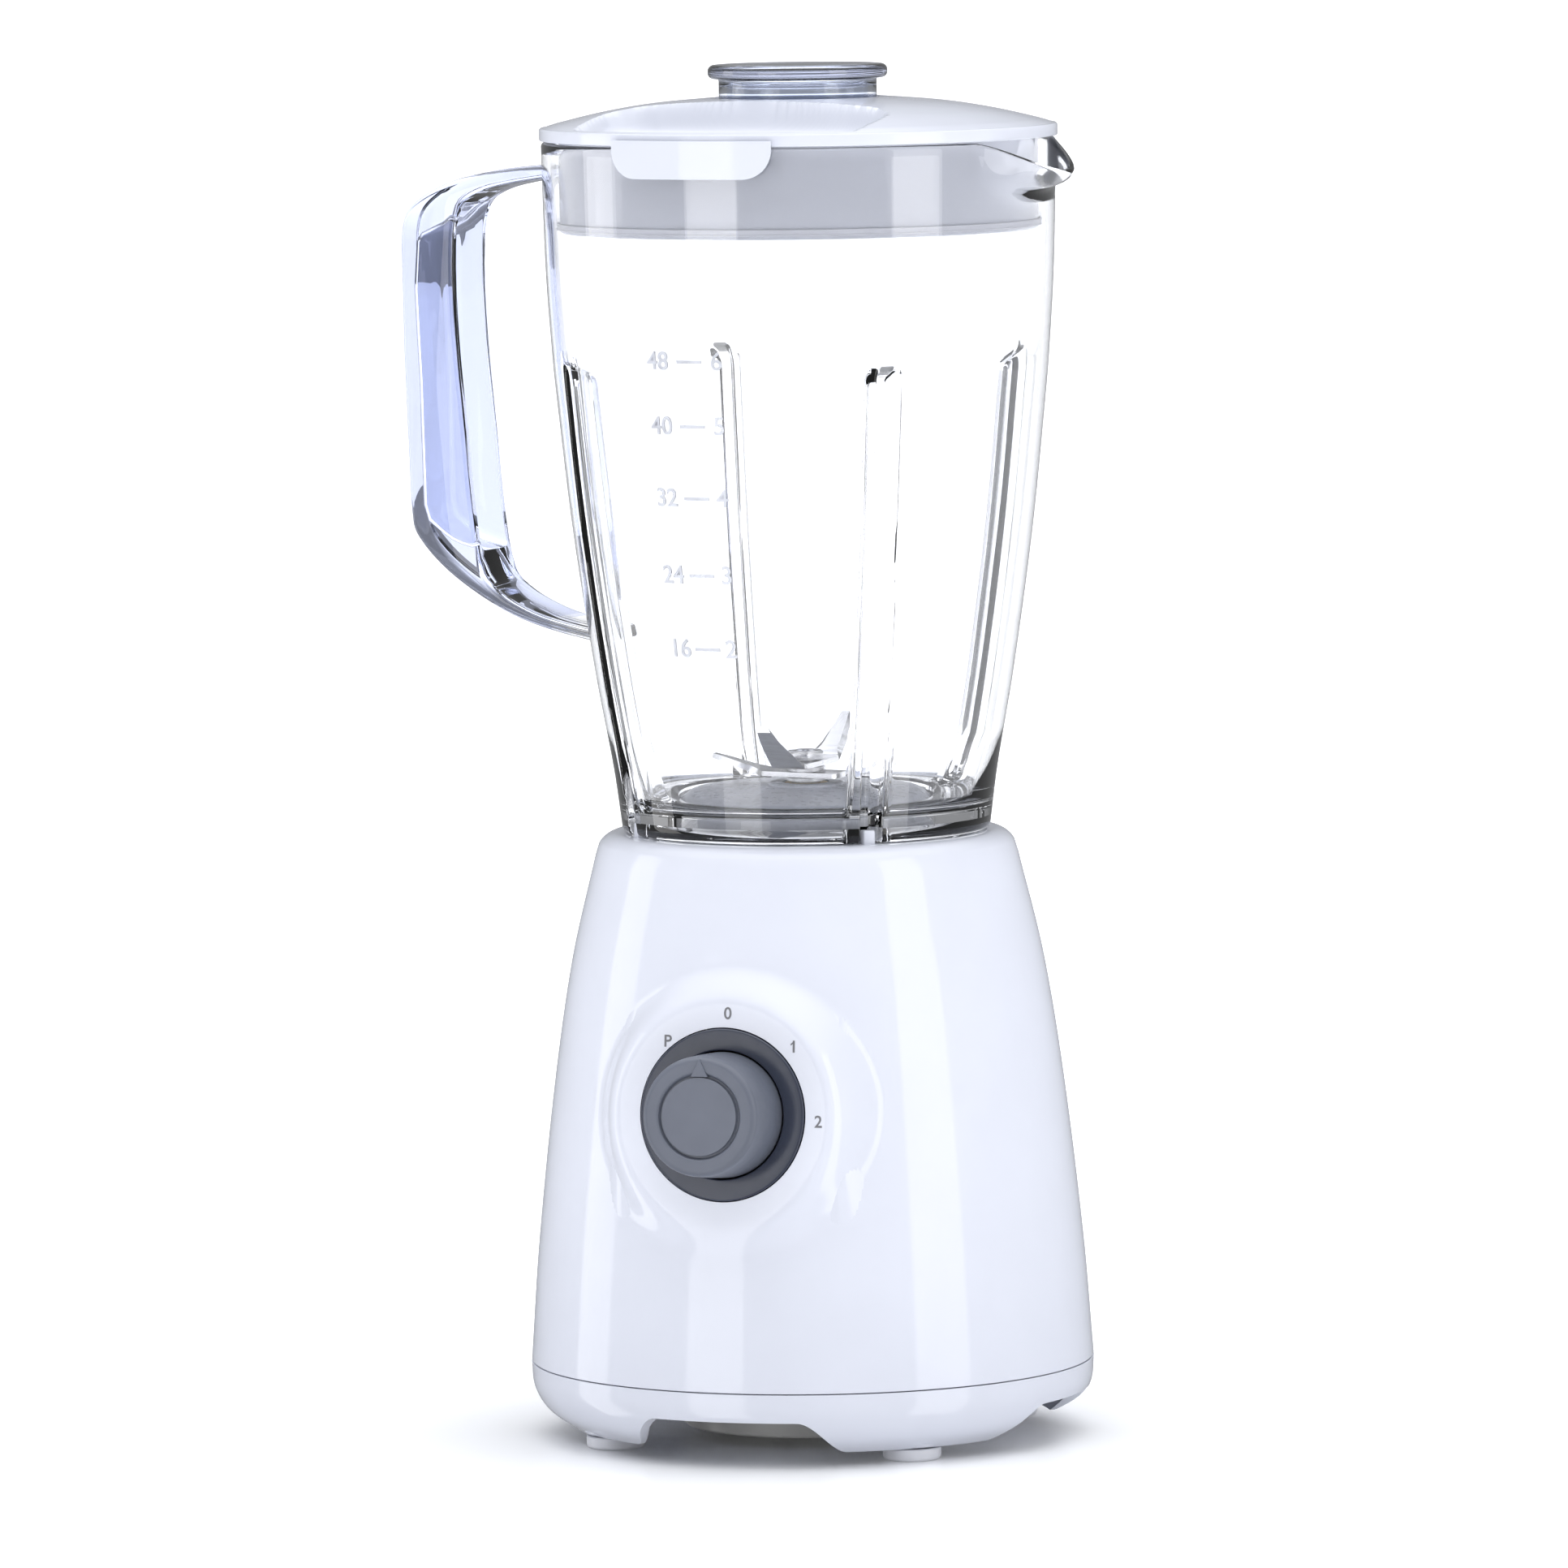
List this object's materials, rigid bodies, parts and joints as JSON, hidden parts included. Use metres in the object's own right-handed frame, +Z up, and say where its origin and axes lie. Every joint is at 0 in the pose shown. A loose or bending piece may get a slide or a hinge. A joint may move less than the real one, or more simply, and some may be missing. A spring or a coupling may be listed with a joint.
{
  "type": "countertop blender",
  "caption": "Countertop blender: white motor base with a rotary dial, clear tapered jug with handle and spout, push-in lid and measuring cap.",
  "frame": {"origin": "centre of the bounding box's bottom face, on the surface the feet stand on", "axes": "+Z up along the blender's own axis, -Y the side with the dial, -X the handle's side"},
  "size_m": [0.1996, 0.1765, 0.38],
  "materials": {
    "white_plastic": "gloss white with a cool tone",
    "clear_plastic": "clear with a faint lilac tint",
    "grey_plastic": "satin grey",
    "blade_mount_plastic": "satin light grey",
    "slate_plastic": "dark slate gloss",
    "black_plastic": "satin black",
    "carbon": "dull black",
    "foot_rubber": "satin white",
    "rubber": "matt grey",
    "seal_rubber": "matt translucent grey",
    "steel": "turned steel",
    "blade_steel": "stamped stainless steel",
    "aluminium": "die cast",
    "laminated_iron": "stacked laminations",
    "copper": "enamelled copper",
    "brass": "sintered bronze and brass"
  },
  "bodies": {
    "base": {"base_housing": "white_plastic", "base_cover": "white_plastic", "foot_pad_1": "foot_rubber", "foot_pad_2": "foot_rubber", "foot_pad_3": "foot_rubber", "foot_pad_4": "foot_rubber", "housing_screw_1": "steel", "housing_screw_2": "steel", "housing_screw_3": "steel", "housing_screw_4": "steel", "dial_ring": "slate_plastic", "rotary_switch": "black_plastic", "stator_core": "laminated_iron", "field_coil_1": "copper", "field_coil_2": "copper", "upper_bracket": "aluminium", "lower_bracket": "aluminium", "upper_bearing": "steel", "lower_bearing": "steel", "brush_holder_1": "brass", "brush_holder_2": "brass", "carbon_brush_1": "carbon", "carbon_brush_2": "carbon", "motor_mount_1": "rubber", "motor_mount_2": "rubber", "motor_mount_3": "rubber", "motor_mount_4": "rubber", "shaft_seal": "rubber", "cord_gland": "rubber", "terminal_block": "grey_plastic", "cord_clamp": "grey_plastic"},
    "rotor": {"motor_shaft": "steel", "armature": "copper", "commutator": "copper", "cooling_fan": "grey_plastic", "drive_coupling": "black_plastic"},
    "selector": {"knob": "grey_plastic", "switch_spindle": "steel"},
    "jug": {"jug": "clear_plastic", "blade_carrier": "blade_mount_plastic", "blade_seal": "seal_rubber", "blade_collar": "blade_mount_plastic", "blade_bush": "brass"},
    "blades": {"blade_shaft": "steel", "lower_blade": "blade_steel", "blade_spacer": "steel", "upper_blade": "blade_steel", "blade_nut": "steel", "driven_coupling": "black_plastic", "circlip": "steel"},
    "lid": {"lid": "white_plastic", "lid_seal": "seal_rubber"},
    "cap": {"measuring_cap": "clear_plastic"}
  },
  "joints": [
    {"name": "knob_turn", "type": "hinge", "parent": "base", "child": "selector", "pos_m": [0.0187, -0.06735, 0.097], "axis": [0, 0.9959, -0.0906], "range_deg": [-45, 90]},
    {"name": "motor_spin", "type": "hinge", "parent": "base", "child": "rotor", "pos_m": [0.0187, 0.00605, 0.08], "axis": [0, 0, 1], "continuous": true},
    {"name": "jug_lift", "type": "slide", "parent": "base", "child": "jug", "axis": [0, 0, 1], "range_m": [0, 0.06]},
    {"name": "blade_spin", "type": "hinge", "parent": "jug", "child": "blades", "pos_m": [0.0187, 0.00605, 0.17], "axis": [0, 0, 1], "continuous": true},
    {"name": "lid_lift", "type": "slide", "parent": "jug", "child": "lid", "axis": [0, 0, 1], "range_m": [0, 0.045]},
    {"name": "cap_lift", "type": "slide", "parent": "lid", "child": "cap", "axis": [0, 0, 1], "range_m": [0, 0.04]}
  ],
  "couplings": [
    {"joint": "blade_spin", "follows": "motor_spin", "ratio": 1}
  ]
}
